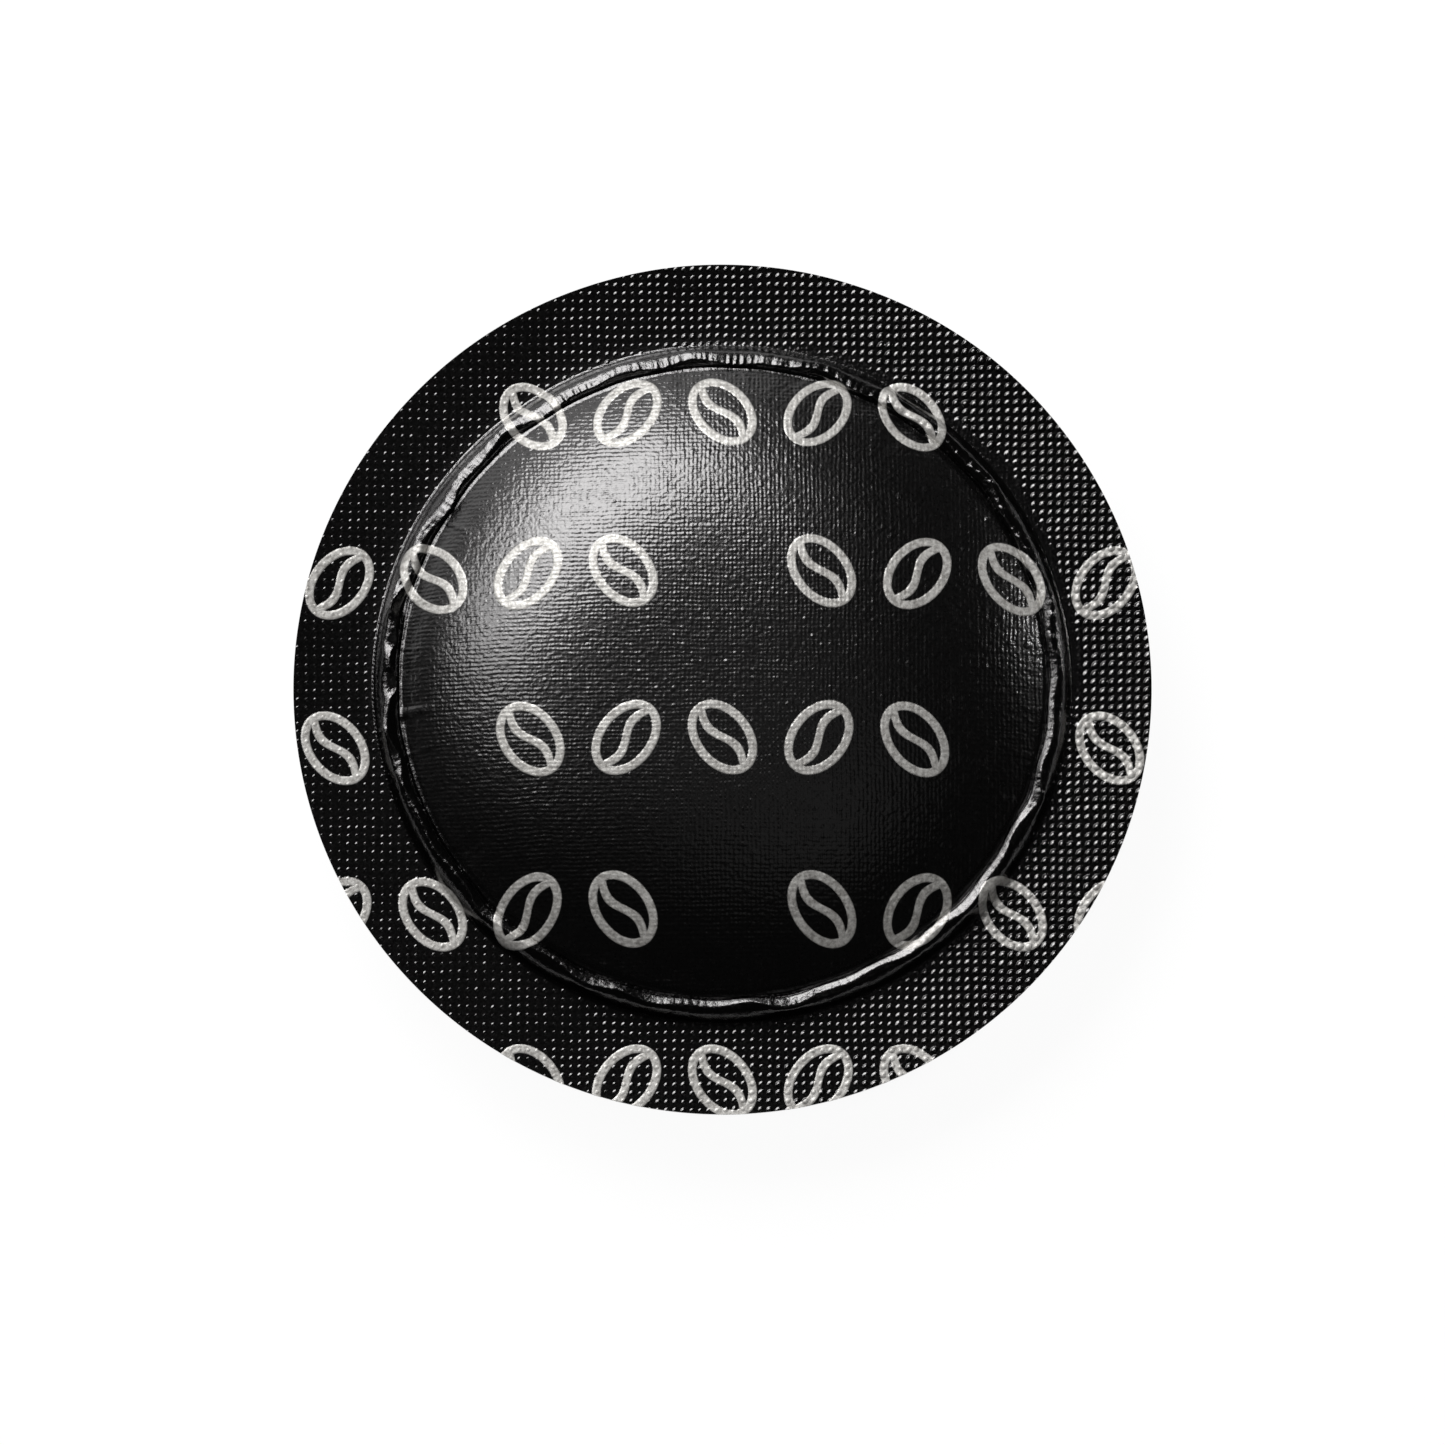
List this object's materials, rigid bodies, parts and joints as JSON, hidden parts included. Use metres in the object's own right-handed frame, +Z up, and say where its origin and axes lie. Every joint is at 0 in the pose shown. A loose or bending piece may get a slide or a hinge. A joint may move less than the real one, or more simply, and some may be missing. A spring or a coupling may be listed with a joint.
{
  "type": "coffee pod",
  "caption": "Flat round single-serve coffee pod: pressed coffee sealed between two crowned foil sheets, with a gathered bead and a flat welded rim.",
  "frame": {"origin": "where the rim's axis meets the surface that the pod rests on", "axes": "+Z up through the chamber and square to the rim, +X to the right of the print, +Y towards the top of the print"},
  "size_m": [0.055, 0.055, 0.0111],
  "materials": {
    "lacquered_foil": "embossed aluminium laminate under black lacquer, satin, with small silver motifs printed in rows"
  },
  "bodies": {
    "root": {"coffee_pod": "lacquered_foil"}
  },
  "joints": []
}
